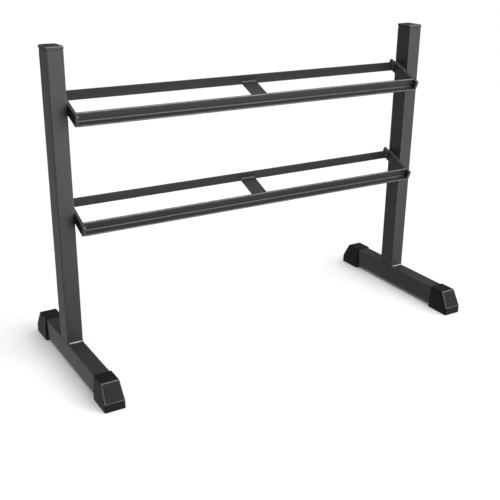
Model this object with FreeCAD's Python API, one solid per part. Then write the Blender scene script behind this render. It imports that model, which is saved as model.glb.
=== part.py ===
import FreeCAD, Part
import math
import os

os.makedirs("parts", exist_ok=True)

# Dumbbell rack, in millimetres. X runs along the shelves, Y runs from front to back, Z is up.
# The floor is Z = 0, and the feet are centred on Y = 0.

# Rectangular tube of the uprights and the feet
TUBE_WIDTH = 60.0
TUBE_DEPTH = 80.0
TUBE_WALL = 3.0
TUBE_CORNER_RADIUS = 5.0

# Overall sizes
RACK_LENGTH = 1600.0
FOOT_TUBE_LENGTH = 640.0
UPRIGHT_HEIGHT = 1060.0
UPRIGHT_SETBACK = 50.0

# Rubber boots on the ends of the feet
SOLE_THICKNESS = 12.0
BOOT_WALL = 3.3
BOOT_END_THICKNESS = 6.0  # rubber past the tube's end, at the top of the boot
BOOT_LENGTH = 106.0
BOOT_TOP_LENGTH = 71.0
BOOT_BAND_HEIGHT = 33.0
BOOT_BAND_HALF_WIDTH = 37.0
BOOT_FLOOR_HALF_WIDTH = 38.0
BOOT_EDGE_RADIUS = 3.0
BOOT_CLEARANCE = 0.2

# Plastic caps on the uprights
CAP_RIM_HEIGHT = 12.0
CAP_OVERHANG = 1.5
CAP_CROWN_HEIGHT = 5.0
CAP_PLUG_DEPTH = 18.0
CAP_PLUG_WALL = 2.0
CAP_PLUG_CLEARANCE = 0.3

# Tilted shelves of angle bar between two end plates
SHELF_TILT = 22.0
SHELF_DEPTH = 192.0
SHELF_HEIGHT = 40.0
SHELF_PITCH = 385.0
SHELF_REACH = 118.0  # from the middle of the uprights forward to a shelf's front top corner
UPPER_SHELF_DROP = 207.0  # from the top of the uprights down to the same corner
PLATE_THICKNESS = 10.0
PLATE_CORNER_RADIUS = 3.0
RAIL_LEDGE = 30.0
RAIL_THICKNESS = 5.0
RAIL_ROOT_RADIUS = 4.0
RAIL_TOE_RADIUS = 1.5
STRIP_WIDTH = 66.0
STRIP_THICKNESS = 5.0
STRIP_TOP_ABOVE_RAIL_BASE = 11.0
STRIP_CENTRE_X = 15.0

# Weld beads
FOOT_WELD_LEG = 3.5
PLATE_WELD_LEG = 5.0
RAIL_WELD_LEG = 4.0
BEAD_MIDDLE = 0.56  # how far the middle of a bead's face stands out, as a share of each leg

FOOT_TOP = SOLE_THICKNESS + TUBE_DEPTH
UPRIGHT_X = (RACK_LENGTH - TUBE_WIDTH) / 2
UPRIGHT_INNER_X = UPRIGHT_X - TUBE_WIDTH / 2
UPRIGHT_TOP = FOOT_TOP + UPRIGHT_HEIGHT
RAIL_END_X = UPRIGHT_INNER_X - PLATE_THICKNESS
SHELF_FRONT_Y = UPRIGHT_SETBACK - SHELF_REACH
UPPER_SHELF_FRONT_Z = UPRIGHT_TOP - UPPER_SHELF_DROP
SIDES = {"left": -1, "right": 1}
SHELVES = {"upper": 0.0, "lower": SHELF_PITCH}
PARALLEL = 0.9  # an edge whose direction has at least this share along an axis runs along it
TOLERANCE = 0.01


def vector(x, y, z):
    return FreeCAD.Vector(x, y, z)


def polygon(points):
    return Part.Face(Part.makePolygon(points + points[:1]))


def rounded_bar(width, depth, length, radius):
    """Upright bar with rounded long edges, centred on the Z axis."""
    bar = Part.makeBox(width, depth, length, vector(-width / 2, -depth / 2, 0))
    edges = [edge for edge in bar.Edges if abs(edge.tangentAt(edge.FirstParameter).z) > PARALLEL]
    return bar.makeFillet(radius, edges)


def tube(length):
    outer = rounded_bar(TUBE_WIDTH, TUBE_DEPTH, length, TUBE_CORNER_RADIUS)
    inner = rounded_bar(TUBE_WIDTH - 2 * TUBE_WALL, TUBE_DEPTH - 2 * TUBE_WALL, length,
                        TUBE_CORNER_RADIUS - TUBE_WALL)
    return outer.cut(inner)


def upright(side):
    shape = tube(UPRIGHT_HEIGHT)
    shape.translate(vector(side * UPRIGHT_X, UPRIGHT_SETBACK, FOOT_TOP))
    return shape


def foot_tube(side):
    shape = tube(FOOT_TUBE_LENGTH)
    shape.rotate(vector(0, 0, 0), vector(1, 0, 0), 90)
    shape.translate(vector(side * UPRIGHT_X, FOOT_TUBE_LENGTH / 2, SOLE_THICKNESS + TUBE_DEPTH / 2))
    return shape


def upright_cap(side):
    width = TUBE_WIDTH + 2 * CAP_OVERHANG
    depth = TUBE_DEPTH + 2 * CAP_OVERHANG
    rim = rounded_bar(width, depth, CAP_RIM_HEIGHT + CAP_CROWN_HEIGHT, TUBE_CORNER_RADIUS + CAP_OVERHANG)
    half_diagonal = math.hypot(width, depth) / 2
    dome_radius = (half_diagonal ** 2 + CAP_CROWN_HEIGHT ** 2) / (2 * CAP_CROWN_HEIGHT)
    dome = Part.makeSphere(dome_radius, vector(0, 0, CAP_RIM_HEIGHT + CAP_CROWN_HEIGHT - dome_radius))
    rim = rim.common(dome)
    plug_width = TUBE_WIDTH - 2 * TUBE_WALL - 2 * CAP_PLUG_CLEARANCE
    plug_depth = TUBE_DEPTH - 2 * TUBE_WALL - 2 * CAP_PLUG_CLEARANCE
    plug_radius = TUBE_CORNER_RADIUS - TUBE_WALL
    plug = rounded_bar(plug_width, plug_depth, CAP_PLUG_DEPTH, plug_radius)
    hollow = Part.makeBox(plug_width - 2 * CAP_PLUG_WALL, plug_depth - 2 * CAP_PLUG_WALL, CAP_PLUG_DEPTH,
                          vector(CAP_PLUG_WALL - plug_width / 2, CAP_PLUG_WALL - plug_depth / 2, 0))
    plug = plug.cut(hollow)
    plug.translate(vector(0, 0, -CAP_PLUG_DEPTH))
    shape = rim.fuse(plug).removeSplitter()
    shape.translate(vector(side * UPRIGHT_X, UPRIGHT_SETBACK, UPRIGHT_TOP))
    return shape


def wedge_block(low_z, low_half_width, low_length, high_z, high_half_width, high_length):
    """Block from two rectangles at two heights, with its mouth at Y = 0 and its nose towards -Y."""
    corners = []
    for z, half_width, length in ((low_z, low_half_width, low_length), (high_z, high_half_width, high_length)):
        outline = [vector(-half_width, -length, z), vector(half_width, -length, z),
                   vector(half_width, 0, z), vector(-half_width, 0, z)]
        corners.append(Part.makePolygon(outline + outline[:1]))
    return Part.makeLoft(corners, True, True)


def boot_body():
    top = FOOT_TOP + BOOT_WALL
    top_half_width = TUBE_WIDTH / 2 + BOOT_WALL
    band = wedge_block(0, BOOT_FLOOR_HALF_WIDTH, BOOT_LENGTH, BOOT_BAND_HEIGHT, BOOT_BAND_HALF_WIDTH, BOOT_LENGTH)
    hood = wedge_block(BOOT_BAND_HEIGHT, BOOT_BAND_HALF_WIDTH, BOOT_LENGTH, top, top_half_width, BOOT_TOP_LENGTH)
    body = band.fuse(hood)
    edges = []
    for edge in body.Edges:
        heights = [vertex.Point.z for vertex in edge.Vertexes]
        depths = [vertex.Point.y for vertex in edge.Vertexes]
        nose_side = max(depths) < -TOLERANCE and max(heights) > BOOT_BAND_HEIGHT + TOLERANCE
        top_side = min(heights) > top - TOLERANCE and min(depths) < -TOLERANCE
        if nose_side or top_side:
            edges.append(edge)
    return body.makeFillet(BOOT_EDGE_RADIUS, edges)


def boot(side, end):
    """Boot on one end of a foot: end is -1 at the front and 1 at the back."""
    body = boot_body()
    mouth = FOOT_TUBE_LENGTH / 2 + BOOT_END_THICKNESS - BOOT_TOP_LENGTH
    pocket_length = FOOT_TUBE_LENGTH / 2 - mouth + BOOT_CLEARANCE
    pocket = rounded_bar(TUBE_WIDTH + 2 * BOOT_CLEARANCE, TUBE_DEPTH + BOOT_CLEARANCE, pocket_length,
                         TUBE_CORNER_RADIUS)
    pocket.rotate(vector(0, 0, 0), vector(1, 0, 0), 90)
    pocket.translate(vector(0, 0, SOLE_THICKNESS + (TUBE_DEPTH + BOOT_CLEARANCE) / 2))
    shape = body.cut(pocket)
    shape.translate(vector(side * UPRIGHT_X, -mouth, 0))
    if end > 0:
        shape.rotate(vector(side * UPRIGHT_X, 0, 0), vector(0, 0, 1), 180)
    return shape


def bead(start, along, first_leg, second_leg):
    """Weld bead: a slightly full triangle between two legs, swept from start along a straight line."""
    corner = start
    first = start + first_leg
    second = start + second_leg
    middle = start + (first_leg + second_leg) * BEAD_MIDDLE
    outline = Part.Wire([Part.makeLine(corner, first), Part.Arc(first, middle, second).toShape(),
                         Part.makeLine(second, corner)])
    return Part.Face(outline).extrude(along)


def foot_weld(side):
    """Beads in front of and behind the upright, where it stands on its foot."""
    length = TUBE_WIDTH - 2 * TUBE_CORNER_RADIUS
    start_x = side * UPRIGHT_X - length / 2
    beads = []
    for end in (-1, 1):
        start = vector(start_x, UPRIGHT_SETBACK + end * TUBE_DEPTH / 2, FOOT_TOP)
        beads.append(bead(start, vector(length, 0, 0), vector(0, end * FOOT_WELD_LEG, 0),
                          vector(0, 0, FOOT_WELD_LEG)))
    return Part.makeCompound(beads)


def place_on_shelf(shape, drop):
    """Moves a shape from the flat shelf frame, whose origin is the plate's front bottom corner, to its tilt."""
    shape.translate(vector(0, 0, -SHELF_HEIGHT))
    shape.rotate(vector(0, 0, 0), vector(1, 0, 0), SHELF_TILT)
    shape.translate(vector(0, SHELF_FRONT_Y, UPPER_SHELF_FRONT_Z - drop))
    return shape


def end_plate(side, drop):
    low_x = min(side * UPRIGHT_INNER_X, side * RAIL_END_X)
    plate = Part.makeBox(PLATE_THICKNESS, SHELF_DEPTH, SHELF_HEIGHT, vector(low_x, 0, 0))
    edges = [edge for edge in plate.Edges if abs(edge.tangentAt(edge.FirstParameter).x) > PARALLEL]
    return place_on_shelf(plate.makeFillet(PLATE_CORNER_RADIUS, edges), drop)


def angle_bar():
    """Front rail in the flat shelf frame: a leg standing behind a ledge that points to the front."""
    leg_front = RAIL_LEDGE - RAIL_THICKNESS
    outline = [vector(-RAIL_END_X, 0, 0), vector(-RAIL_END_X, RAIL_LEDGE, 0),
               vector(-RAIL_END_X, RAIL_LEDGE, SHELF_HEIGHT), vector(-RAIL_END_X, leg_front, SHELF_HEIGHT),
               vector(-RAIL_END_X, leg_front, RAIL_THICKNESS), vector(-RAIL_END_X, 0, RAIL_THICKNESS)]
    bar = polygon(outline).extrude(vector(2 * RAIL_END_X, 0, 0))
    bar = fillet_long_edge(bar, leg_front, RAIL_THICKNESS, RAIL_ROOT_RADIUS)
    bar = fillet_long_edge(bar, 0, RAIL_THICKNESS, RAIL_TOE_RADIUS)
    bar = fillet_long_edge(bar, leg_front, SHELF_HEIGHT, RAIL_TOE_RADIUS)
    return bar


def fillet_long_edge(bar, y, z, radius):
    edges = []
    for edge in bar.Edges:
        points = [vertex.Point for vertex in edge.Vertexes]
        if all(abs(point.y - y) < TOLERANCE and abs(point.z - z) < TOLERANCE for point in points):
            edges.append(edge)
    return bar.makeFillet(radius, edges)


def rail(place, drop):
    bar = angle_bar()
    if place == "rear":
        bar.rotate(vector(0, 0, 0), vector(0, 0, 1), 180)
        bar.translate(vector(0, SHELF_DEPTH, 0))
    return place_on_shelf(bar, drop)


def cross_strip(drop):
    """Flat bar from the back of the front rail's leg to the front of the rear rail's leg."""
    length = SHELF_DEPTH - 2 * RAIL_LEDGE
    low = vector(STRIP_CENTRE_X - STRIP_WIDTH / 2, RAIL_LEDGE, STRIP_TOP_ABOVE_RAIL_BASE - STRIP_THICKNESS)
    return place_on_shelf(Part.makeBox(STRIP_WIDTH, length, STRIP_THICKNESS, low), drop)


def strip_welds(drop):
    """Beads on top of the strip, along each of its two ends."""
    low_x = STRIP_CENTRE_X - STRIP_WIDTH / 2
    beads = []
    for y, direction in ((RAIL_LEDGE, 1), (SHELF_DEPTH - RAIL_LEDGE, -1)):
        beads.append(bead(vector(low_x, y, STRIP_TOP_ABOVE_RAIL_BASE), vector(STRIP_WIDTH, 0, 0),
                          vector(0, direction * RAIL_WELD_LEG, 0), vector(0, 0, RAIL_WELD_LEG)))
    return place_on_shelf(Part.makeCompound(beads), drop)


def rail_welds(drop):
    """Beads up the four rail ends, on the side of each leg that faces the other rail."""
    beads = []
    for side in SIDES.values():
        for y, direction in ((RAIL_LEDGE, 1), (SHELF_DEPTH - RAIL_LEDGE, -1)):
            beads.append(bead(vector(side * RAIL_END_X, y, 0), vector(0, 0, SHELF_HEIGHT - PLATE_CORNER_RADIUS),
                              vector(0, direction * RAIL_WELD_LEG, 0), vector(-side * RAIL_WELD_LEG, 0, 0)))
    return place_on_shelf(Part.makeCompound(beads), drop)


def plate_weld(side, drop):
    """Beads above and below an end plate, where it crosses the flat of the upright's inner face."""
    tilt = math.radians(SHELF_TILT)
    flat_front = UPRIGHT_SETBACK - TUBE_DEPTH / 2 + TUBE_CORNER_RADIUS - SHELF_FRONT_Y
    flat_length = TUBE_DEPTH - 2 * TUBE_CORNER_RADIUS
    lean = PLATE_WELD_LEG * math.tan(tilt)
    length = flat_length / math.cos(tilt) - lean
    corner_x = side * UPRIGHT_INNER_X
    top_start = flat_front / math.cos(tilt) + lean
    base_start = flat_front / math.cos(tilt) - SHELF_HEIGHT * math.tan(tilt)
    inward = vector(-side * PLATE_WELD_LEG, 0, 0)
    above = bead(vector(corner_x, top_start, SHELF_HEIGHT), vector(0, length, 0), inward,
                 vector(0, 0, PLATE_WELD_LEG))
    below = bead(vector(corner_x, base_start, 0), vector(0, length, 0), inward, vector(0, 0, -PLATE_WELD_LEG))
    return place_on_shelf(Part.makeCompound([above, below]), drop)


def save(name, shape):
    if not shape.isValid():
        raise ValueError(name + " is not a valid shape")
    shape.exportStep("parts/" + name + ".step")
    print(name, len(shape.Solids), round(shape.Volume, 1))


for side_name, side in SIDES.items():
    save(side_name + "_upright", upright(side))
    save(side_name + "_foot_tube", foot_tube(side))
    save(side_name + "_upright_cap", upright_cap(side))
    save(side_name + "_foot_weld", foot_weld(side))
    save("front_" + side_name + "_boot", boot(side, -1))
    save("rear_" + side_name + "_boot", boot(side, 1))

for shelf_name, drop in SHELVES.items():
    save(shelf_name + "_front_rail", rail("front", drop))
    save(shelf_name + "_rear_rail", rail("rear", drop))
    save(shelf_name + "_cross_strip", cross_strip(drop))
    save(shelf_name + "_rail_welds", rail_welds(drop))
    save(shelf_name + "_strip_welds", strip_welds(drop))
    for side_name, side in SIDES.items():
        save(shelf_name + "_" + side_name + "_end_plate", end_plate(side, drop))
        save(shelf_name + "_" + side_name + "_plate_weld", plate_weld(side, drop))
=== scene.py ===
import bmesh
import bpy
import math
import random
from mathutils import Matrix, Vector


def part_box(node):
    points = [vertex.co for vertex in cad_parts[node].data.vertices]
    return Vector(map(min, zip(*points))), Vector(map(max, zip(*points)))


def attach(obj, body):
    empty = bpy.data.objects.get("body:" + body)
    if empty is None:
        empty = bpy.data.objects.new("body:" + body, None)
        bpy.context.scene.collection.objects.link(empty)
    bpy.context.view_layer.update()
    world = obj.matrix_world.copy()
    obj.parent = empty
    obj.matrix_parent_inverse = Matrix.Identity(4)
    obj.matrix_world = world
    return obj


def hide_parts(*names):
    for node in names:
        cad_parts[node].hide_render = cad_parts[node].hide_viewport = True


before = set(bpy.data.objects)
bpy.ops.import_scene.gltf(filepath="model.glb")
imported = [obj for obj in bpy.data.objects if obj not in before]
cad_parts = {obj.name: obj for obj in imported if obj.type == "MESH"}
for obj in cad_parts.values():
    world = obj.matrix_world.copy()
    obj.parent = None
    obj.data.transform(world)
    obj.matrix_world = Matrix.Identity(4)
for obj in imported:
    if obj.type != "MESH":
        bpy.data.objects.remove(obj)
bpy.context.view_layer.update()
print("frame loaded:", len(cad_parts), "nodes")


class Wire:
    # a node's output; sums, products and powers of wires add Math nodes
    def __init__(self, tree, socket=None):
        self.tree = tree
        self.socket = socket

    def node(self, kind, settings=None, inputs=None, output=0):
        made = self.tree.nodes.new(kind)
        for key, value in (settings or {}).items():
            setattr(made, key, value)
        for key, value in (inputs or {}).items():
            target = made.inputs[key]
            if isinstance(value, Wire):
                self.tree.links.new(value.socket, target)
            else:
                target.default_value = value
        return Wire(self.tree, made.outputs[output])

    def math(self, operation, first, second):
        return self.node("ShaderNodeMath", {"operation": operation}, {0: first, 1: second})

    def __add__(self, other):
        return self.math("ADD", self, other)

    def __radd__(self, other):
        return self.math("ADD", other, self)

    def __sub__(self, other):
        return self.math("SUBTRACT", self, other)

    def __rsub__(self, other):
        return self.math("SUBTRACT", other, self)

    def __mul__(self, other):
        return self.math("MULTIPLY", self, other)

    def __rmul__(self, other):
        return self.math("MULTIPLY", other, self)

    def __pow__(self, other):
        return self.math("POWER", self, other)

    def between(self, low, high):
        # 0 below low, 1 above high, smooth in between
        return self.node("ShaderNodeMapRange", {"interpolation_type": "SMOOTHSTEP"},
                         {0: self, 1: low, 2: high, 3: 0.0, 4: 1.0})


def noise(wire, place, scale, detail=3.0, roughness=0.55):
    return wire.node("ShaderNodeTexNoise", {"noise_dimensions": "3D"},
                     {"Vector": place, "Scale": scale, "Detail": detail, "Roughness": roughness})


def mixColour(wire, amount, first, second):
    return wire.node("ShaderNodeMix", {"data_type": "RGBA"}, {0: amount, 6: first, 7: second}, 2)


def bumped(wire, height, distance, strength):
    return wire.node("ShaderNodeBump", {}, {"Height": height, "Distance": distance, "Strength": strength})


def grey(level, tint=(1.0, 1.0, 1.0)):
    return (level * tint[0], level * tint[1], level * tint[2], 1.0)


def startFinish(name):
    material = bpy.data.materials.new(name)
    material.use_nodes = True
    material.node_tree.nodes.clear()
    wire = Wire(material.node_tree)
    place = wire.node("ShaderNodeTexCoord", output=3)  # the object's own metres
    edge = wire.node("ShaderNodeAttribute", {"attribute_name": "edge"}, output=2)
    return material, wire, place, edge


def endFinish(wire, colour, roughness, normal, specular):
    surface = wire.node("ShaderNodeBsdfPrincipled", {}, {
        "Base Color": colour, "Roughness": roughness, "Normal": normal, "Specular IOR Level": specular})
    output = wire.tree.nodes.new("ShaderNodeOutputMaterial")
    wire.tree.links.new(surface.socket, output.inputs["Surface"])


# the lighter colour that marked edges take is partly worn paint and partly a painted highlight; on weld beads
# it is a painted highlight
powderCoat = {"shade": 0.028, "tint": (0.99, 1.0, 1.012), "clouding": 0.05, "grainShade": 1.9,
              "grainShare": 0.2, "wornAndSheenShade": 0.36, "weldSheenShade": 0.9, "weldSpatter": 0.6, "wearAndSheen": 0.75,
              "evenWearAndSheen": 0.55, "roughness": 0.43, "cloudRough": 0.08, "patchRough": 0.06,
              "wornSmoother": 0.2, "specular": 0.42, "cloudScale": 6.0, "patchScale": 60.0,
              "peelScale": 420.0, "grainScale": 1900.0, "grainHeight": 0.3, "spatterScale": 850.0,
              "peelDepth": 0.00005, "peelStrength": 0.6}


def powderCoatFinish(name, wornAndSheenShade, spatter=0.0):
    v = powderCoat
    material, wire, place, edge = startFinish(name)
    cloud = noise(wire, place, v["cloudScale"], 4.0, 0.6)
    patch = noise(wire, place, v["patchScale"], 5.0, 0.6)
    peel = noise(wire, place, v["peelScale"], 2.0, 0.45)
    grain = noise(wire, place, v["grainScale"], 2.0, 0.6)
    shade = v["shade"]
    colour = mixColour(wire, cloud.between(0.3, 0.7), grey(shade * (1 - v["clouding"]), v["tint"]),
                       grey(shade * (1 + v["clouding"]), v["tint"]))
    colour = mixColour(wire, grain.between(0.55, 0.8) * v["grainShare"], colour,
                       grey(shade * v["grainShade"], v["tint"]))
    patchy = patch.between(0.36, 0.62)
    wearAndSheen = edge * (v["evenWearAndSheen"] + (1 - v["evenWearAndSheen"]) * patchy)  # marked edges turn lighter: partly paint thinning along the corners, partly a painted highlight on them
    colour = mixColour(wire, wearAndSheen * v["wearAndSheen"], colour, grey(wornAndSheenShade, v["tint"]))
    rough = (v["roughness"] + v["cloudRough"] * (cloud - 0.5) + v["patchRough"] * (patch - 0.5)
             - v["wornSmoother"] * wearAndSheen)
    specks = noise(wire, place, v["spatterScale"], 2.0).between(0.62, 0.75)
    height = peel + v["grainHeight"] * grain + spatter * specks
    endFinish(wire, colour, rough, bumped(wire, height, v["peelDepth"], v["peelStrength"]), v["specular"])
    return material


# marked rim edges take a lighter colour: a painted highlight
capPlastic = {"shade": 0.034, "edgeSheenShade": 0.3, "roughness": 0.5, "edgeSmoother": 0.2, "specular": 0.3,
              "grainScale": 1400.0, "cloudScale": 30.0, "grainDepth": 0.00005, "grainStrength": 0.7}


def capPlasticFinish():
    v = capPlastic
    material, wire, place, edge = startFinish("capPlastic")
    grain = noise(wire, place, v["grainScale"], 3.0, 0.6)
    cloud = noise(wire, place, v["cloudScale"], 4.0)
    colour = mixColour(wire, cloud.between(0.3, 0.7), grey(v["shade"] * 0.94), grey(v["shade"] * 1.06))
    # painted highlight along the marked rim edges
    colour = mixColour(wire, edge * (0.4 + 0.4 * cloud), colour, grey(v["edgeSheenShade"]))
    rough = v["roughness"] + 0.12 * (grain - 0.5) + 0.06 * (cloud - 0.5) - v["edgeSmoother"] * edge
    endFinish(wire, colour, rough, bumped(wire, grain, v["grainDepth"], v["grainStrength"]), v["specular"])
    return material


# marked edges take a lighter colour: partly rubbed rubber, partly painted highlight lines
bootRubber = {"shade": 0.0065, "bloom": 0.012, "scuffed": 0.03, "scuffShare": 0.15, "rubbedAndSheenShade": 0.34,
              "wearAndSheen": 0.75, "roughness": 0.55, "rubbedSmoother": 0.25, "specular": 0.22, "pebbleScale": 800.0,
              "cloudScale": 22.0, "scuffScale": 60.0, "scuffStretch": (1.0, 1.0, 5.0), "pebbleDepth": 0.0001,
              "pebbleStrength": 0.45}


def bootRubberFinish():
    v = bootRubber
    material, wire, place, edge = startFinish("bootRubber")
    pebble = wire.node("ShaderNodeTexVoronoi", {"feature": "SMOOTH_F1"},
                       {"Vector": place, "Scale": v["pebbleScale"], "Smoothness": 0.6})
    cloud = noise(wire, place, v["cloudScale"], 5.0, 0.62)
    scuff = noise(wire, wire.node("ShaderNodeVectorMath", {"operation": "MULTIPLY"},
                                  {0: place, 1: v["scuffStretch"]}), v["scuffScale"], 6.0, 0.7)
    colour = mixColour(wire, cloud.between(0.4, 0.75) * 0.5, grey(v["shade"]), grey(v["bloom"]))
    colour = mixColour(wire, scuff.between(0.62, 0.8) * v["scuffShare"], colour, grey(v["scuffed"]))
    # lighter marked edges: partly rubbed rubber, partly a painted highlight
    wearAndSheen = edge * (0.6 + 0.4 * cloud.between(0.35, 0.6))
    colour = mixColour(wire, wearAndSheen * v["wearAndSheen"], colour, grey(v["rubbedAndSheenShade"]))
    rough = v["roughness"] + 0.12 * (cloud - 0.5) - v["rubbedSmoother"] * wearAndSheen
    height = pebble * 0.6 + 0.4 * scuff
    endFinish(wire, colour, rough, bumped(wire, height, v["pebbleDepth"], v["pebbleStrength"]), v["specular"])
    return material


finishes = {"frame_paint": powderCoatFinish("framePaint", powderCoat["wornAndSheenShade"]),
            "weld_paint": powderCoatFinish("weldPaint", powderCoat["weldSheenShade"], powderCoat["weldSpatter"]),
            "cap_plastic": capPlasticFinish(),
            "boot_rubber": bootRubberFinish()}
print("finishes made:", len(finishes))


def cornerMark(step, steps, sharpness=4.0):
    # strongest in the middle of a rounded corner, so that its painted highlight line stays thin
    return math.sin(math.pi * (step + 0.5) / steps) ** sharpness if step < steps else 0.0


def roundedOutline(width, depth, radius, steps, mark=1.0):
    # points round a rectangle centred on the origin, and how strongly the stretch after each is marked
    # lighter as a corner: partly wear, partly painted highlight
    points = []
    corners = ((1, 1, 0), (-1, 1, 90), (-1, -1, 180), (1, -1, 270))
    for signX, signY, start in corners:
        for step in range(steps + 1):
            angle = math.radians(start + 90 * step / steps)
            points.append((signX * (width / 2 - radius) + radius * math.cos(angle),
                           signY * (depth / 2 - radius) + radius * math.sin(angle),
                           mark * cornerMark(step, steps)))
    return points


def addRing(mesh, points):
    return [mesh.verts.new(point) for point in points]


def bridge(mesh, first, second, layer, flags, band=0.0):
    # quads between two rings; a face on a rounded corner or a rounded band is marked as an edge
    count = len(first)
    for i in range(count):
        j = (i + 1) % count
        face = mesh.faces.new((first[i], first[j], second[j], second[i]))
        face[layer] = max(band, flags[i])


def newMesh():
    mesh = bmesh.new()
    return mesh, mesh.faces.layers.float.new("edge")


def finishPiece(name, mesh, node, slotName, smoothAngle=38.0):
    bmesh.ops.recalc_face_normals(mesh, faces=mesh.faces)
    data = bpy.data.meshes.new(name)
    mesh.to_mesh(data)
    mesh.free()
    piece = bpy.data.objects.new(name, data)
    bpy.context.scene.collection.objects.link(piece)
    data.materials.append(finishes[slotName])
    data.shade_smooth()
    data.set_sharp_from_angle(angle=math.radians(smoothAngle))
    weighted = piece.modifiers.new("cornerShading", "WEIGHTED_NORMAL")
    weighted.keep_sharp = True
    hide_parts(node)
    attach(piece, "root")
    return piece


def sides():
    return (("left", -1), ("right", 1))


# uprights and feet: rectangular tube with rounded corners
# the rounded corners are marked lighter: partly worn paint, partly a painted highlight
tube = {"width": 0.060, "depth": 0.080, "wall": 0.003, "corner": 0.005, "cornerSteps": 6, "cornerWearAndSheen": 0.4,
        "burr": 0.0005, "spans": 12}


def tubeRings(mesh, layer, place, low, high):
    # outer skin, cut ends and inner skin of a tube between two distances along its axis
    v = tube
    outer = roundedOutline(v["width"], v["depth"], v["corner"], v["cornerSteps"], v["cornerWearAndSheen"])
    trimmed = roundedOutline(v["width"] - 2 * v["burr"], v["depth"] - 2 * v["burr"],
                             v["corner"] - v["burr"], v["cornerSteps"])
    inner = roundedOutline(v["width"] - 2 * v["wall"], v["depth"] - 2 * v["wall"],
                           v["corner"] - v["wall"], v["cornerSteps"])
    flags = [corner for _, _, corner in outer]
    stations = [(trimmed, low)]
    for i in range(v["spans"] + 1):
        stations.append((outer, low + v["burr"] + (high - low - 2 * v["burr"]) * i / v["spans"]))
    stations += [(trimmed, high), (inner, high), (inner, low)]
    rings = [addRing(mesh, [place(x, y, along) for x, y, _ in outline]) for outline, along in stations]
    for first, second in zip(rings, rings[1:] + rings[:1]):
        bridge(mesh, first, second, layer, flags)


def makeUpright(side):
    low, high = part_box(side + "_upright")
    middle = (low + high) / 2
    mesh, layer = newMesh()
    tubeRings(mesh, layer, lambda x, y, z: (middle.x + x, middle.y + y, z), low.z, high.z)
    finishPiece(side + "Upright", mesh, side + "_upright", "frame_paint")


def makeFoot(side):
    low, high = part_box(side + "_foot_tube")
    middle = (low + high) / 2
    mesh, layer = newMesh()
    tubeRings(mesh, layer, lambda x, z, y: (middle.x + x, y, middle.z + z), low.y, high.y)
    finishPiece(side + "Foot", mesh, side + "_foot_tube", "frame_paint")


# caps on the uprights: a shadow gap, a rim with a rounded top edge, and a shallow dome
cap = {"corner": 0.0065, "sharpest": 0.0012, "crown": 0.005, "rim": 0.012, "reveal": 0.0026,
       "revealDepth": 0.0034, "lip": 0.0006, "topEdge": 0.0018, "topSteps": 5, "cornerSteps": 7,
       "middle": 0.0008, "domeShares": (0.15, 0.35, 0.55, 0.75, 0.92)}


def makeCap(side):
    v = cap
    low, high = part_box(side + "_upright_cap")
    middle = (low + high) / 2
    width, depth = high.x - low.x, high.y - low.y
    base = high.z - v["rim"] - v["crown"]
    reach = math.hypot(width, depth) / 2
    domeRadius = (reach ** 2 + v["crown"] ** 2) / (2 * v["crown"])

    def outline(inset):
        radius = max(v["corner"] - inset, v["sharpest"])
        return roundedOutline(width - 2 * inset, depth - 2 * inset, radius, v["cornerSteps"])

    def domeDrop(x, y):
        return domeRadius - math.sqrt(domeRadius ** 2 - x * x - y * y)

    mesh, layer = newMesh()
    rings = []
    marks = []
    rimBase = base + v["reveal"]
    # the lip at the rim's foot and the rounded top edge are marked lighter: painted highlight lines
    for inset, z, mark in ((v["revealDepth"], base, 0.0), (v["revealDepth"], rimBase, 0.0),
                           (v["lip"], rimBase, 0.0), (0.0, rimBase + v["lip"], 1.0)):
        rings.append(addRing(mesh, [(middle.x + x, middle.y + y, z) for x, y, _ in outline(inset)]))
        marks.append(mark)
    for step in range(v["topSteps"] + 1):
        angle = math.pi / 2 * step / v["topSteps"]
        inset = v["topEdge"] * (1 - math.cos(angle))
        ring = []
        for x, y, _ in outline(inset):
            z = high.z - domeDrop(x, y) - v["topEdge"] * (1 - math.sin(angle))
            ring.append((middle.x + x, middle.y + y, z))
        rings.append(addRing(mesh, ring))
        marks.append(1.0 if step else 0.0)
    for share in v["domeShares"]:
        inset = v["topEdge"] + (width / 2 - v["topEdge"] - v["middle"]) * share
        ring = [(middle.x + x, middle.y + y, high.z - domeDrop(x, y)) for x, y, _ in outline(inset)]
        rings.append(addRing(mesh, ring))
        marks.append(0.0)
    flags = [corner for _, _, corner in outline(0)]
    flat = [0.0] * len(flags)
    rimSide = marks.index(1.0)  # the upright side of the rim starts at the first marked ring
    for i in range(len(rings) - 1):
        bridge(mesh, rings[i], rings[i + 1], layer, flags if i == rimSide else flat, marks[i + 1])
    mesh.faces.new(rings[-1])
    mesh.faces.new(rings[0])
    finishPiece(side + "Cap", mesh, side + "_upright_cap", "cap_plastic", 50.0)


# rubber boots on the ends of the feet
boot = {"topLength": 0.071, "bandHeight": 0.033, "bandHalfWidth": 0.037, "bandSwell": 0.0001,
        "crease": 0.0016, "creaseRound": 0.12, "creaseSheen": 0.4, "soleWear": 0.3, "noseCorner": 0.0034,
        "mouthCorner": 0.0012, "topEdge": 0.003, "topSteps": 5, "topSlide": 1.5, "soleEdge": 0.0012,
        "wall": 0.0033, "cornerSteps": 5, "lineSharpness": 1.5, "fit": 0.0002,
        "slopeHeights": (0.048, 0.063, 0.078), "pocketReach": 0.1, "pocketSteps": 6}


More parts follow.
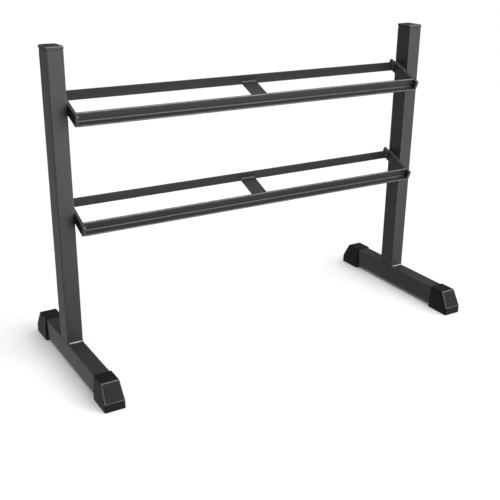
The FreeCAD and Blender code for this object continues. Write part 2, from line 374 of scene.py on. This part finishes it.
def bootOutline(halfWidth, nose, mouth, noseCorner):
    # from the mouth's right corner round to the nose and back, seen from above
    v = boot
    points = []
    corners = ((1, mouth, v["mouthCorner"], 0), (-1, mouth, v["mouthCorner"], 90),
               (-1, nose, noseCorner, 180), (1, nose, noseCorner, 270))
    for sign, y, radius, start in corners:
        towards = -1 if y > nose else 1
        for step in range(v["cornerSteps"] + 1):
            angle = math.radians(start + 90 * step / v["cornerSteps"])
            # the rounded corners ahead of the mouth are marked lighter: painted highlight lines, partly
            # rubbed rubber
            mark = cornerMark(step, v["cornerSteps"], v["lineSharpness"]) if y < mouth else 0.0
            points.append((sign * (halfWidth - radius) + radius * math.cos(angle),
                           y + towards * radius + radius * math.sin(angle), mark))
    return points


def makeBoot(side, end):
    v = boot
    node = end + "_" + side + "_boot"
    low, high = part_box(node)
    middleX = (low.x + high.x) / 2
    floorHalf = (high.x - low.x) / 2
    length = high.y - low.y
    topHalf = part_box(side + "_foot_tube")[1].x - middleX + v["wall"]
    turn = 1 if end == "front" else -1
    middleY = (low.y + high.y) / 2
    top = high.z - low.z

    def slopeAt(z):
        share = (z - v["bandHeight"]) / (top - v["bandHeight"])
        return (v["bandHalfWidth"] + (topHalf - v["bandHalfWidth"]) * share,
                length + (v["topLength"] - length) * share)

    # heights with their half width, how far the nose reaches from the mouth, and the marks of sides and nose
    levels = [(0.0, floorHalf - v["soleEdge"], length - v["soleEdge"], 0.0, 0.0),
              (v["soleEdge"], floorHalf, length, 0.0, v["soleWear"]),
              (v["bandHeight"] - v["crease"], v["bandHalfWidth"] + v["bandSwell"], length, 0.0, 0.0)]
    # the crease round the nose is marked lighter: a painted highlight line
    for step in range(1, 4):
        z = v["bandHeight"] - v["crease"] + 2 * v["crease"] * step / 4
        half, reach = slopeAt(z)
        reach = min(length, reach) - v["crease"] * v["creaseRound"] * step
        levels.append((z, half, reach, 0.0, v["creaseSheen"]))
    for z in (v["bandHeight"] + 1.5 * v["crease"],) + v["slopeHeights"]:
        levels.append((z, *slopeAt(z), 0.0, 0.0))
    half, reach = slopeAt(top - v["topEdge"])
    for step in range(v["topSteps"] + 1):
        angle = math.pi / 2 * step / v["topSteps"]
        inset = v["topEdge"] * (1 - math.cos(angle))
        # the rounded top edge is marked lighter: a painted highlight line
        mark = cornerMark(step - 1, v["topSteps"], v["lineSharpness"]) if step else 0.0
        z = top - v["topEdge"] * (1 - math.sin(angle))
        levels.append((z, half - inset, reach - v["topSlide"] * inset, 0.0, mark))
    mesh, layer = newMesh()
    rings = []
    for z, half, reach, _, _ in levels:
        outline = bootOutline(half, length / 2 - reach, length / 2, v["noseCorner"])
        rings.append(addRing(mesh, [(middleX + turn * x, middleY + turn * y, z) for x, y, _ in outline]))
    corners = [corner for _, _, corner in bootOutline(floorHalf, -length / 2, length / 2, v["noseCorner"])]
    plain = [0.0] * len(corners)
    noseStart = 3 * (v["cornerSteps"] + 1) - 1  # the stretch from one nose corner to the other
    for i in range(len(rings) - 1):
        onSlope = levels[i][0] >= v["bandHeight"] - v["crease"]
        bridge(mesh, rings[i], rings[i + 1], layer, corners if onSlope else plain, levels[i + 1][3])
        mesh.faces.ensure_lookup_table()
        noseFace = mesh.faces[-len(corners) + noseStart]
        noseFace[layer] = max(noseFace[layer], levels[i + 1][4])
    mesh.faces.new(rings[0])
    mesh.faces.new(rings[-1])
    piece = finishPiece(end + side.capitalize() + "Boot", mesh, node, "boot_rubber")
    cutPocket(piece, side, turn)


def cutPocket(piece, side, turn):
    # the space that the foot's end fills
    v = boot
    low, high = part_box(side + "_foot_tube")
    middle = (low + high) / 2
    mesh = bmesh.new()
    outline = roundedOutline(high.x - low.x + 2 * v["fit"], high.z - low.z + v["fit"], tube["corner"],
                             v["pocketSteps"])
    near, far = (v["pocketReach"], high.y + v["fit"]) if turn < 0 else (-v["pocketReach"], low.y - v["fit"])
    ends = []
    for y in (near, far):
        ends.append(addRing(mesh, [(middle.x + x, y, middle.z + z + v["fit"] / 2) for x, z, _ in outline]))
    count = len(outline)
    for i in range(count):
        mesh.faces.new((ends[0][i], ends[0][(i + 1) % count], ends[1][(i + 1) % count], ends[1][i]))
    mesh.faces.new(ends[0])
    mesh.faces.new(ends[1])
    bmesh.ops.recalc_face_normals(mesh, faces=mesh.faces)
    data = bpy.data.meshes.new("pocket")
    mesh.to_mesh(data)
    mesh.free()
    cutter = bpy.data.objects.new("pocket", data)
    bpy.context.scene.collection.objects.link(cutter)
    cut = piece.modifiers.new("pocket", "BOOLEAN")
    cut.operation = "DIFFERENCE"
    cut.solver = "EXACT"
    cut.object = cutter
    piece.modifiers.move(1, 0)
    graph = bpy.context.evaluated_depsgraph_get()
    shaped = bpy.data.meshes.new_from_object(piece.evaluated_get(graph), preserve_all_data_layers=True,
                                             depsgraph=graph)
    shaped.name = piece.name
    piece.modifiers.clear()
    piece.data = shaped
    bpy.data.objects.remove(cutter)


# tilted shelves: angle bar rails and a strip between two end plates
# the marks lighten edges of rails, plates and strips: painted highlights, partly also worn paint
shelf = {"tilt": math.radians(22.0), "depth": 0.192, "height": 0.040, "ledge": 0.030, "thickness": 0.005,
         "root": 0.004, "toe": 0.0015, "heel": 0.0009, "railSpans": 24, "rubbedSheenBand": 0.0020,
         "darkBand": 0.0015, "lipWearAndSheen": 0.6, "lipToeWearAndSheen": 0.5, "rootSheen": 0.16, "legWearAndSheen": 0.6,
         "legToeWearAndSheen": 0.8, "plateCorner": 0.003, "plateEdge": 0.0012, "plateWearAndSheen": 0.85, "stripTop": 0.011,
         "stripCorner": 0.0006, "stripEdge": 0.0009, "stripWearAndSheen": 0.3, "sharpest": 0.0003,
         "slabSteps": 4, "slabCornerSteps": 5}


def shelfPlace(level):
    # turns a point on the level shelf, measured from its front bottom edge, into its tilted place
    v = shelf
    low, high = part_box(level + "_cross_strip")
    middle = (low + high) / 2
    turned = Matrix.Rotation(v["tilt"], 4, "X")
    stripMiddle = Vector((0.0, v["depth"] / 2, v["stripTop"] - v["thickness"] / 2))
    origin = Vector((0.0, middle.y, middle.z)) - turned @ stripMiddle
    return lambda x, u, w: origin + turned @ Vector((x, u, w))


def railOutline():
    # leg and ledge of the front rail, seen from its left end, with rounded toes and root;
    # the lip of the ledge and the top of the leg are marked lighter, partly rubbed paint and partly painted
    # highlight; the root and the heel's lower back corner carry painted highlight lines
    v = shelf
    front = v["ledge"] - v["thickness"]
    points = []

    def arc(centreU, centreW, radius, start, sweep, steps, mark):
        for step in range(steps + 1):
            angle = math.radians(start + sweep * step / steps)
            points.append((centreU + radius * math.cos(angle), centreW + radius * math.sin(angle),
                           mark if step < steps else 0.0))

    heel, toe, root = v["heel"], v["toe"], v["root"]
    arc(heel, heel, heel, 270, -90, 3, 0.0)
    points.append((0.0, heel + v["darkBand"], v["lipWearAndSheen"]))
    arc(toe, v["thickness"] - toe, toe, 180, -90, 4, v["lipToeWearAndSheen"])
    arc(front - root, v["thickness"] + root, root, 270, 90, 6, v["rootSheen"])
    points.append((front, v["height"] - toe - v["rubbedSheenBand"], v["legWearAndSheen"]))
    arc(front + toe, v["height"] - toe, toe, 180, -90, 4, v["legToeWearAndSheen"])
    arc(v["ledge"] - heel, v["height"] - heel, heel, 90, -90, 3, 0.0)
    arc(v["ledge"] - heel, heel, heel, 0, -90, 3, 1.0)
    return points


def makeRail(level, placeName):
    v = shelf
    node = level + "_" + placeName + "_rail"
    low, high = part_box(node)
    place = shelfPlace(level)
    outline = railOutline()
    if placeName == "rear":
        outline = [(v["depth"] - u, w, mark) for u, w, mark in outline]
    mesh, layer = newMesh()
    rings = []
    for i in range(v["railSpans"] + 1):
        x = low.x + (high.x - low.x) * i / v["railSpans"]
        rings.append(addRing(mesh, [place(x, u, w) for u, w, _ in outline]))
    for first, second in zip(rings, rings[1:]):
        bridge(mesh, first, second, layer, [mark for _, _, mark in outline])
    for ring in (rings[0], rings[-1]):
        mesh.faces.new(ring)
    finishPiece(level + placeName.capitalize() + "Rail", mesh, node, "frame_paint")


def addSlab(mesh, layer, place, centre, size, corner, edge, mark):
    # flat bar: its outline is rounded at the corners, and both faces are rounded off along their edges
    steps = shelf["slabSteps"]
    stations = []
    for step in range(steps + 1):
        angle = math.pi / 2 * step / steps
        stations.append((edge * (1 - math.sin(angle)), -size[2] / 2 + edge * (1 - math.cos(angle))))
    stations += [(inset, -offset) for inset, offset in reversed(stations)]
    rings = []
    for inset, offset in stations:
        radius = max(corner - inset, shelf["sharpest"])
        outline = roundedOutline(size[0] - 2 * inset, size[1] - 2 * inset, radius, shelf["slabCornerSteps"],
                                 mark)
        rings.append(addRing(mesh, [place(centre[0] + a, centre[1] + b, centre[2] + offset)
                                    for a, b, _ in outline]))
    flags = [mark for _, _, mark in outline]
    for i in range(len(rings) - 1):
        # the rounded edges are marked lighter: partly worn paint, partly painted highlight
        bridge(mesh, rings[i], rings[i + 1], layer, flags, 0.0 if i == steps else mark)
    mesh.faces.new(rings[0])
    mesh.faces.new(rings[-1])


def makePlate(level, side):
    v = shelf
    node = level + "_" + side + "_end_plate"
    low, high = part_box(node)
    place = shelfPlace(level)
    mesh, layer = newMesh()
    centre = (v["depth"] / 2, v["height"] / 2, (low.x + high.x) / 2)
    addSlab(mesh, layer, lambda u, w, x: place(x, u, w), centre,
            (v["depth"], v["height"], high.x - low.x), v["plateCorner"], v["plateEdge"], v["plateWearAndSheen"])
    finishPiece(level + side.capitalize() + "Plate", mesh, node, "frame_paint")


def makeStrip(level):
    v = shelf
    node = level + "_cross_strip"
    low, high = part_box(node)
    place = shelfPlace(level)
    mesh, layer = newMesh()
    centre = ((low.x + high.x) / 2, v["depth"] / 2, v["stripTop"] - v["thickness"] / 2)
    addSlab(mesh, layer, place, centre, (high.x - low.x, v["depth"] - 2 * v["ledge"], v["thickness"]),
            v["stripCorner"], v["stripEdge"], v["stripWearAndSheen"])
    finishPiece(level + "Strip", mesh, node, "frame_paint")


# weld beads, made of overlapping ripples
# every bead is marked lighter by its shine, the foot weld most: a painted highlight
weld = {"ripple": 0.0026, "rippleSteps": 5, "rippleDepth": 0.09, "wander": 0.07, "endSize": 0.45,
        "profileSteps": 6, "bulge": 0.434, "shine": 0.1, "footShine": 0.7, "plateLeg": 0.005,
        "railLeg": 0.004, "seed": 7}
weldDice = random.Random(weld["seed"])


def addBead(mesh, layer, place, start, along, firstLeg, secondLeg, shine=weld["shine"]):
    # a run of overlapping ripples in the corner between two faces
    v = weld
    start, along, firstLeg, secondLeg = (Vector(p) for p in (start, along, firstLeg, secondLeg))
    ripples = max(3, round(along.length / v["ripple"]))
    perRipple = v["rippleSteps"]
    steps = ripples * perRipple
    rings = []
    size = 1.0
    for i in range(steps + 1):
        phase = (i % perRipple) / perRipple
        if i % perRipple == 0:
            size = 1.0 - v["wander"] * weldDice.random()
        toEnd = min(i, steps - i) / perRipple
        taper = min(1.0, v["endSize"] + (1 - v["endSize"]) * toEnd)
        swell = size * taper * (1.0 - v["rippleDepth"] * (1 - math.sin(math.pi * phase)))
        centre = start + along * (i / steps)
        ring = [place(*centre)]
        for step in range(v["profileSteps"] + 1):
            share = step / v["profileSteps"]
            bulge = v["bulge"] * share * (1 - share)
            offset = firstLeg * (1 - share + bulge) + secondLeg * (share + bulge)
            ring.append(place(*(centre + offset * swell)))
        rings.append(addRing(mesh, ring))
    flags = [0.0] * len(rings[0])
    for first, second in zip(rings, rings[1:]):
        # the whole bead takes the lighter edge colour: a painted highlight
        bridge(mesh, first, second, layer, flags, shine)
    mesh.faces.new(rings[0])
    mesh.faces.new(rings[-1])


def makeFootWeld(side):
    low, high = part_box(side + "_upright")
    beadLow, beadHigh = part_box(side + "_foot_weld")
    leg = beadHigh.z - beadLow.z
    flat = tube["corner"]
    mesh, layer = newMesh()
    for y, outward in ((low.y, -1), (high.y, 1)):
        addBead(mesh, layer, lambda x, y, z: (x, y, z), (low.x + flat, y, low.z),
                (high.x - low.x - 2 * flat, 0, 0), (0, outward * leg, 0), (0, 0, leg), weld["footShine"])
    finishPiece(side + "FootWeld", mesh, side + "_foot_weld", "weld_paint", 60.0)


def makePlateWeld(level, side, sign):
    v = weld
    uprightLow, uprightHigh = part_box(side + "_upright")
    plateLow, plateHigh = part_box(level + "_" + side + "_end_plate")
    innerX = plateLow.x if sign < 0 else plateHigh.x
    place = shelfPlace(level)
    tilt = shelf["tilt"]
    front = place(0, 0, shelf["height"])
    lean = v["plateLeg"] * math.tan(tilt)
    flatLength = uprightHigh.y - uprightLow.y - 2 * tube["corner"]
    length = flatLength / math.cos(tilt) - lean
    startTop = (uprightLow.y + tube["corner"] - front.y) / math.cos(tilt) + lean
    startBase = startTop - lean - shelf["height"] * math.tan(tilt)
    inward = (-sign * v["plateLeg"], 0, 0)
    mesh, layer = newMesh()
    addBead(mesh, layer, place, (innerX, startTop, shelf["height"]), (0, length, 0), inward,
            (0, 0, v["plateLeg"]))
    addBead(mesh, layer, place, (innerX, startBase, 0), (0, length, 0), inward, (0, 0, -v["plateLeg"]))
    finishPiece(level + side.capitalize() + "PlateWeld", mesh, level + "_" + side + "_plate_weld",
                "weld_paint", 60.0)


def railSides():
    # the face of each leg that looks at the other rail, and which way it looks
    return ((shelf["ledge"], 1), (shelf["depth"] - shelf["ledge"], -1))


def makeRailWelds(level):
    v = weld
    place = shelfPlace(level)
    low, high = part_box(level + "_front_rail")
    mesh, layer = newMesh()
    for x, inward in ((low.x, 1), (high.x, -1)):
        for u, direction in railSides():
            addBead(mesh, layer, place, (x, u, 0), (0, 0, shelf["height"] - shelf["plateCorner"]),
                    (0, direction * v["railLeg"], 0), (inward * v["railLeg"], 0, 0))
    finishPiece(level + "RailWelds", mesh, level + "_rail_welds", "weld_paint", 60.0)


def makeStripWelds(level):
    v = weld
    place = shelfPlace(level)
    low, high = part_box(level + "_cross_strip")
    mesh, layer = newMesh()
    for u, direction in railSides():
        addBead(mesh, layer, place, (low.x, u, shelf["stripTop"]), (high.x - low.x, 0, 0),
                (0, direction * v["railLeg"], 0), (0, 0, v["railLeg"]))
    finishPiece(level + "StripWelds", mesh, level + "_strip_welds", "weld_paint", 60.0)


for side, sign in sides():
    makeUpright(side)
    makeFoot(side)
    makeCap(side)
    makeFootWeld(side)
    for end in ("front", "rear"):
        makeBoot(side, end)
print("uprights, feet, caps and boots made")

for level in ("upper", "lower"):
    for placeName in ("front", "rear"):
        makeRail(level, placeName)
    makeStrip(level)
    makeRailWelds(level)
    makeStripWelds(level)
    for side, sign in sides():
        makePlate(level, side)
        makePlateWeld(level, side, sign)
print("shelves made")


# floor, backdrop, soft light and camera
studio = {"backdropGlow": 1.0, "floorSize": 60.0, "floorPatches": 24, "floorShade": 0.9, "floorGlow": 0.03,
          "floorShadePower": 1.04, "overheadSpread": 110.0, "overheadTilt": -8.0,
          # broad patches of sky: strength, tightness, and the way each lies
          "skyLobes": ((1.0, 3, (0, 0, 1)), (2.5, 4, (0.5, -0.8, 0.3)), (0.4, 4, (1, 0, 0.1)),
                       (0.02, 4, (0.5, 0.85, 0.2)), (0.2, 8, (0.53, 0.48, 0.7)),
                       (0.6, 6, (-0.49, 0.79, -0.36)), (0.7, 2, (0, 0, -1))),
          # name, place, what it faces, size in metres, watts
          "softboxes": (("frontLight", (0.8, -2.8, 1.3), (-0.3, 0.0, 0.9), (0.8, 0.6), 9.0),
                        ("topLight", (0.3, -1.7, 1.75), (0.0, 0.0, 1.1), (2.0, 0.4), 15.0),
                        ("farCard", (0.7, -2.3, 0.02), (0.7, -2.3, 2.0), (2.2, 1.6), 38.0),
                        ("nearCard", (-0.2, -0.9, 0.02), (-0.2, -0.9, 2.0), (2.4, 1.0), 1.8),
                        ("backCard", (1.5, 1.7, 0.02), (1.5, 1.7, 2.0), (1.2, 1.4), 26.0)),
          "lens": 60.133, "sensor": 36.0, "farthest": 200.0, "cameraPlace": (-1.6555, -2.6771, 1.5341),
          "azimuth": -0.5468, "elevation": 0.3691, "roll": 0.0127}


def plainMaterial(name, shade, roughness, glow):
    material = bpy.data.materials.new(name)
    material.use_nodes = True
    surface = material.node_tree.nodes["Principled BSDF"]
    surface.inputs["Base Color"].default_value = grey(shade)
    surface.inputs["Roughness"].default_value = roughness
    surface.inputs["Specular IOR Level"].default_value = 0.0
    surface.inputs["Emission Color"].default_value = grey(1.0)
    surface.inputs["Emission Strength"].default_value = glow
    return material


def stageObject(name, mesh, material):
    # seen by the camera, but neither lights the rack nor shades it
    data = bpy.data.meshes.new(name)
    mesh.to_mesh(data)
    mesh.free()
    data.materials.append(material)
    thing = bpy.data.objects.new(name, data)
    bpy.context.scene.collection.objects.link(thing)
    thing.visible_diffuse = False
    thing.visible_glossy = False
    thing.visible_shadow = False
    return thing


def makeFloor():
    mesh = bmesh.new()
    size, count = studio["floorSize"], studio["floorPatches"]
    marks = [size * (i / count - 0.5) for i in range(count + 1)]
    rows = [[mesh.verts.new((x, y, 0)) for x in marks] for y in marks]
    for j in range(count):
        for i in range(count):
            mesh.faces.new((rows[j][i], rows[j][i + 1], rows[j + 1][i + 1], rows[j + 1][i]))
    material = plainMaterial("paleFloor", studio["floorShade"], 0.9, studio["floorGlow"])
    return stageObject("floor", mesh, material)


def makeBackdrop():
    # white dome round the floor, so that there is no dark sky behind the rack from any side
    mesh = bmesh.new()
    bmesh.ops.create_icosphere(mesh, subdivisions=4, radius=studio["floorSize"] / 2)
    for face in mesh.faces:
        face.smooth = True
    stageObject("backdrop", mesh, plainMaterial("backdropWhite", 0.0, 1.0, studio["backdropGlow"]))


def makeSky():
    world = bpy.data.worlds.new("studioSky")
    bpy.context.scene.world = world
    world.use_nodes = True
    world.node_tree.nodes.clear()
    wire = Wire(world.node_tree)
    direction = wire.node("ShaderNodeTexCoord", output=0)
    level = None
    for strength, tightness, towards in studio["skyLobes"]:
        aim = tuple(Vector(towards).normalized())
        facing = wire.node("ShaderNodeVectorMath", {"operation": "DOT_PRODUCT"}, {0: direction, 1: aim}, 1)
        lobe = facing.math("MAXIMUM", facing, 0.0) ** tightness * strength
        level = lobe if level is None else level + lobe
    light = wire.node("ShaderNodeBackground", {}, {"Color": grey(1.0), "Strength": level})
    output = wire.tree.nodes.new("ShaderNodeOutputWorld")
    wire.tree.links.new(light.socket, output.inputs["Surface"])


def makeSoftbox(name, place, target, size, power):
    data = bpy.data.lights.new(name, "AREA")
    data.shape = "RECTANGLE"
    data.size, data.size_y = size
    data.energy = power
    lamp = bpy.data.objects.new(name, data)
    bpy.context.scene.collection.objects.link(lamp)
    lamp.location = place
    lamp.visible_camera = False
    lamp.rotation_euler = (Vector(target) - Vector(place)).to_track_quat("-Z", "Y").to_euler()


def makeFloorShade(floor):
    # wide light from nearly straight above that only reaches the floor, where it makes the soft shadow
    data = bpy.data.lights.new("floorShade", "SUN")
    data.energy = studio["floorShadePower"]
    data.angle = math.radians(studio["overheadSpread"])
    lamp = bpy.data.objects.new("floorShade", data)
    bpy.context.scene.collection.objects.link(lamp)
    lamp.rotation_euler = (math.radians(studio["overheadTilt"]), 0.0, 0.0)
    lit = bpy.data.collections.new("litFloor")
    lit.objects.link(floor)
    lamp.light_linking.receiver_collection = lit


def makeCamera():
    v = studio
    azimuth, elevation, roll = v["azimuth"], v["elevation"], v["roll"]
    back = Vector((math.sin(azimuth) * math.cos(elevation), -math.cos(azimuth) * math.cos(elevation),
                   math.sin(elevation)))
    right = (-back).cross(Vector((0, 0, 1))).normalized()
    up = back.cross(right)
    turnedRight = math.cos(roll) * right + math.sin(roll) * up
    turnedUp = math.cos(roll) * up - math.sin(roll) * right
    basis = Matrix((turnedRight, turnedUp, back)).transposed().to_4x4()
    data = bpy.data.cameras.new("camera")
    data.lens = v["lens"]
    data.sensor_width = v["sensor"]
    data.clip_end = v["farthest"]
    camera = bpy.data.objects.new("camera", data)
    bpy.context.scene.collection.objects.link(camera)
    camera.matrix_world = Matrix.Translation(v["cameraPlace"]) @ basis
    bpy.context.scene.camera = camera
    bpy.context.scene.view_settings.view_transform = "Standard"


floor = makeFloor()
makeBackdrop()
makeSky()
for softbox in studio["softboxes"]:
    makeSoftbox(*softbox)
makeFloorShade(floor)
makeCamera()
print("studio made")
